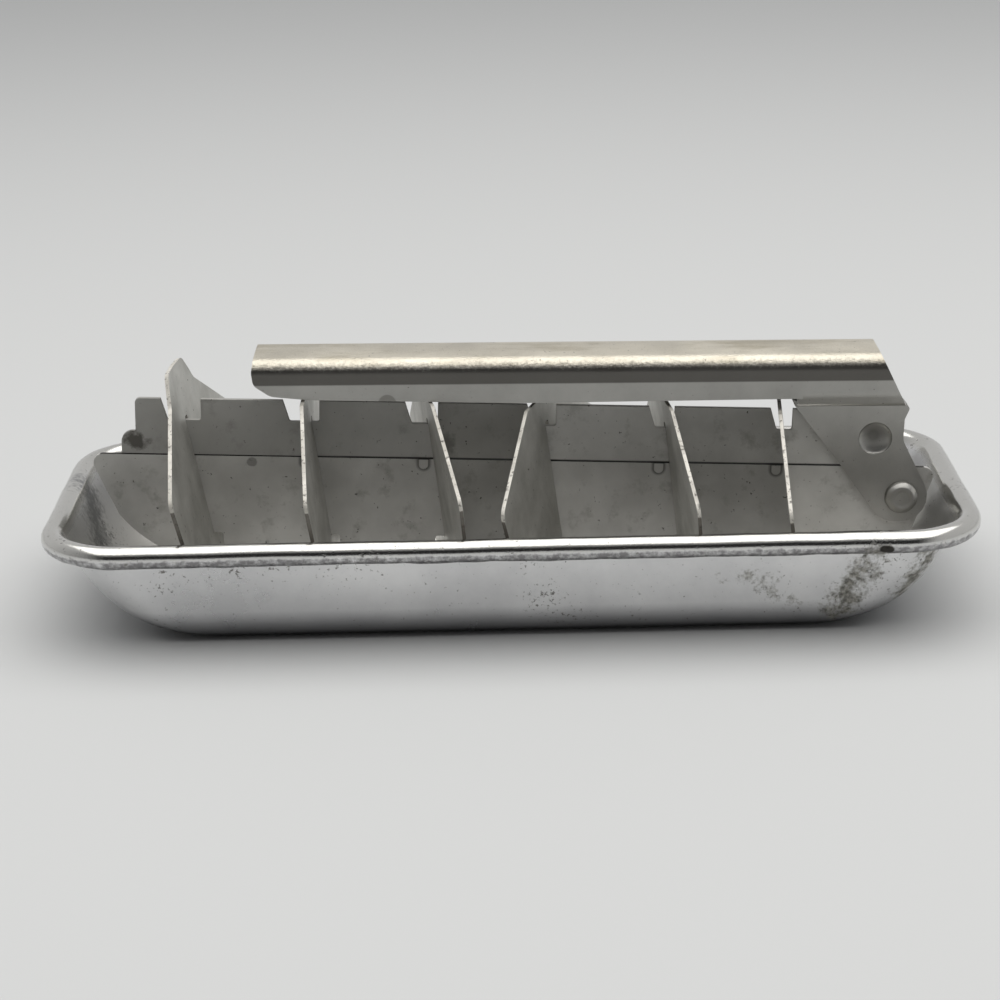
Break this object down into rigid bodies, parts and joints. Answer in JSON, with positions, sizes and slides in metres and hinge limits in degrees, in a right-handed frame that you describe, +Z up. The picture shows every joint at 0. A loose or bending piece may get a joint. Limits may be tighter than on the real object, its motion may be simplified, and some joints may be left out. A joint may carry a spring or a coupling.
{
  "type": "lever ice cube tray",
  "caption": "Aluminium ice cube tray with a rolled rim, a lift-out divider grid of tipping cross fins, and a lever that slides its upper plate to free the ice.",
  "frame": {"origin": "centre of the pan's bounding box at the level of the surface it stands on", "axes": "+X along the tray towards the lever's pivot, -Y the side seen first, +Z up"},
  "size_m": [0.286, 0.1128, 0.0809],
  "materials": {
    "pan_sheet": "drawn and dulled",
    "plate_sheet": "matte, weathered",
    "fin_sheet": "matte with bright sheared edges",
    "lever_sheet": "pressed, worn satin",
    "rivet_stock": "polished dome"
  },
  "bodies": {
    "pan": {"pan": "pan_sheet"},
    "grid": {"lower_divider_plate": "plate_sheet", "pivot_rivet": "rivet_stock"},
    "slide_plate": {"sliding_divider_plate": "plate_sheet"},
    "lever": {"lever": "lever_sheet"},
    "fin_1": {"cross_fin_1": "fin_sheet"},
    "fin_2": {"cross_fin_2": "fin_sheet"},
    "fin_3": {"cross_fin_3": "fin_sheet"},
    "fin_4": {"cross_fin_4": "fin_sheet"},
    "fin_5": {"cross_fin_5": "fin_sheet"},
    "fin_6": {"cross_fin_6": "fin_sheet"}
  },
  "joints": [
    {"name": "grid_lift", "type": "slide", "parent": "pan", "child": "grid", "axis": [0, 0, 1], "range_m": [0, 0.06]},
    {"name": "lever_lift", "type": "hinge", "parent": "grid", "child": "lever", "pos_m": [0.12355, 0, 0.02902], "axis": [0, 1, 0], "range_deg": [0, 46]},
    {"name": "plate_slide", "type": "slide", "parent": "grid", "child": "slide_plate", "axis": [0.9992, 0, -0.0394], "range_m": [0, 0.01672]},
    {"name": "fin_1_tip", "type": "hinge", "parent": "grid", "child": "fin_1", "pos_m": [-0.09458, 0, 0.02151], "axis": [0, 1, 0], "range_deg": [0, 19.25]},
    {"name": "fin_2_tip", "type": "hinge", "parent": "grid", "child": "fin_2", "pos_m": [-0.05757, 0, 0.02005], "axis": [0, 1, 0], "range_deg": [0, 17.55]},
    {"name": "fin_3_tip", "type": "hinge", "parent": "grid", "child": "fin_3", "pos_m": [-0.02057, 0, 0.01859], "axis": [0, 1, 0], "range_deg": [0, 18.75]},
    {"name": "fin_4_tip", "type": "hinge", "parent": "grid", "child": "fin_4", "pos_m": [0.01643, 0, 0.01713], "axis": [0, 1, 0], "range_deg": [0, 21.55]},
    {"name": "fin_5_tip", "type": "hinge", "parent": "grid", "child": "fin_5", "pos_m": [0.05344, 0, 0.01567], "axis": [0, 1, 0], "range_deg": [0, 21.5]},
    {"name": "fin_6_tip", "type": "hinge", "parent": "grid", "child": "fin_6", "pos_m": [0.09044, 0, 0.01421], "axis": [0, 1, 0], "range_deg": [0, 24.3]}
  ],
  "couplings": [
    {"joint": "plate_slide", "follows": "lever_lift", "m_per_rad": 0.020801},
    {"joint": "fin_1_tip", "follows": "lever_lift", "ratio": 0.41739},
    {"joint": "fin_2_tip", "follows": "lever_lift", "ratio": 0.38043},
    {"joint": "fin_3_tip", "follows": "lever_lift", "ratio": 0.40652},
    {"joint": "fin_4_tip", "follows": "lever_lift", "ratio": 0.46739},
    {"joint": "fin_5_tip", "follows": "lever_lift", "ratio": 0.4663},
    {"joint": "fin_6_tip", "follows": "lever_lift", "ratio": 0.52717}
  ]
}
